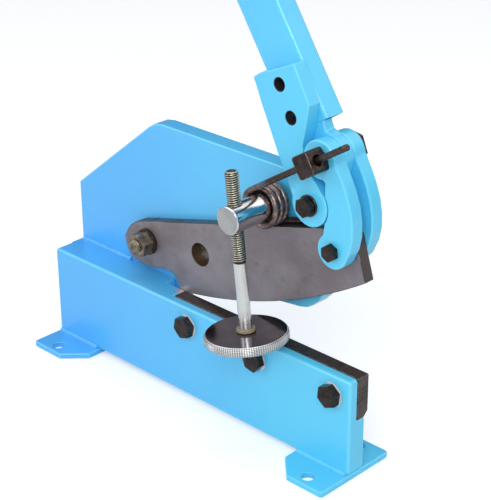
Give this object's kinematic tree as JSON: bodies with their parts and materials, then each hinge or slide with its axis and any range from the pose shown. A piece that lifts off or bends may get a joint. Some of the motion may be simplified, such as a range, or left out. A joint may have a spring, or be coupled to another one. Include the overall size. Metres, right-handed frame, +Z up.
{
  "type": "bench lever shear",
  "caption": "Bench lever shear with a toggle-linked blade, a return spring and a screw hold-down, bolted down through its feet.",
  "frame": {"origin": "centre of the four foot bolt holes, on the underside of the feet", "axes": "+X along the base towards the free end of the blade, +Y to the back, +Z up"},
  "size_m": [0.345, 0.1114, 0.6423],
  "materials": {
    "blue_paint": "glossy sky-blue paint",
    "dark_tool_steel": "dark hardened steel, light oil film",
    "ground_blade_steel": "satin grey with a mauve cast",
    "black_bolts": "black oxide",
    "pin_steel": "plain turned steel",
    "bronzed_steel": "bronzed, oiled",
    "black_plastic": "matt black",
    "black_block": "black, worn at the edges",
    "spring_wire": "dark brown spring steel",
    "chromed_steel": "bright chrome",
    "zinc_thread": "yellow zinc thread, bright shank",
    "tan_ring": "tan rubber"
  },
  "bodies": {
    "frame": {"front_plate": "blue_paint", "spacer_block": "blue_paint", "back_plate": "blue_paint", "left_foot": "blue_paint", "right_foot": "blue_paint", "lower_blade": "dark_tool_steel", "blade_screws": "black_bolts", "blade_pivot_bolt": "bronzed_steel", "blade_pivot_nut": "bronzed_steel", "blade_pivot_washer": "bronzed_steel", "blade_pivot_rear_washer": "bronzed_steel", "lever_pivot_bolt": "black_bolts", "lever_pivot_washer": "black_bolts", "lever_pivot_nut": "black_bolts"},
    "blade": {"upper_blade": "ground_blade_steel", "blade_link_bush": "pin_steel"},
    "lever": {"lever_cheek": "blue_paint", "lever_inner_plate": "blue_paint", "lever_tube": "blue_paint", "handle_cap": "black_plastic", "link_upper_pin": "pin_steel", "link_upper_nut": "black_bolts"},
    "links": {"front_link": "blue_paint", "rear_link": "blue_paint", "link_lower_bolt": "black_bolts", "link_lower_nut": "black_bolts"},
    "block": {"swivel_block": "black_block"},
    "spring": {"torsion_spring": "spring_wire"},
    "holddown_arm": {"cross_rod": "chromed_steel", "cross_rod_nut": "black_bolts"},
    "holddown_ring": {"shank_ring": "tan_ring"},
    "holddown": {"holddown_screw": "zinc_thread", "pressure_disc": "chromed_steel"}
  },
  "joints": [
    {"name": "lever_swing", "type": "hinge", "parent": "frame", "child": "lever", "pos_m": [0.1204, 0, 0.2126], "axis": [0, 1, 0], "range_deg": [0, 128], "stiffness_Nm_per_rad": 1.2, "springref_deg": -34.38},
    {"name": "blade_swing", "type": "hinge", "parent": "frame", "child": "blade", "pos_m": [-0.072, 0, 0.1185], "axis": [0, 1, 0], "range_deg": [0, 17.91]},
    {"name": "link_swing", "type": "hinge", "parent": "lever", "child": "links", "pos_m": [0.12908, 0, 0.25052], "axis": [0, 1, 0], "range_deg": [-122.49, 0]},
    {"name": "block_swivel", "type": "hinge", "parent": "lever", "child": "block", "pos_m": [0.12908, 0, 0.25052], "axis": [0, 1, 0], "range_deg": [-76.44, 0]},
    {"name": "spring_twist", "type": "hinge", "parent": "frame", "child": "spring", "pos_m": [0.069, 0, 0.195], "axis": [0, 1, 0], "range_deg": [0, 51.6], "deforming": ["torsion_spring"]},
    {"name": "holddown_tilt", "type": "hinge", "parent": "frame", "child": "holddown_arm", "pos_m": [0.069, 0, 0.195], "axis": [0, 1, 0], "range_deg": [0, 13]},
    {"name": "holddown_lift", "type": "slide", "parent": "holddown_arm", "child": "holddown_ring", "axis": [-0.1132, 0, 0.9936], "range_m": [-0.0032, 0.03]},
    {"name": "holddown_turn", "type": "hinge", "parent": "holddown_ring", "child": "holddown", "pos_m": [0.069, -0.0245, 0.195], "axis": [-0.1132, 0, 0.9936], "range_deg": [-658.24, 6171.38]}
  ],
  "couplings": [
    {"joint": "blade_swing", "follows": "lever_swing", "ratio": 0.13973},
    {"joint": "link_swing", "follows": "lever_swing", "ratio": -0.95679},
    {"joint": "block_swivel", "follows": "lever_swing", "ratio": -0.597},
    {"joint": "spring_twist", "follows": "lever_swing", "ratio": 0.403},
    {"joint": "holddown_lift", "follows": "holddown_turn", "m_per_rad": 0.00027852}
  ]
}
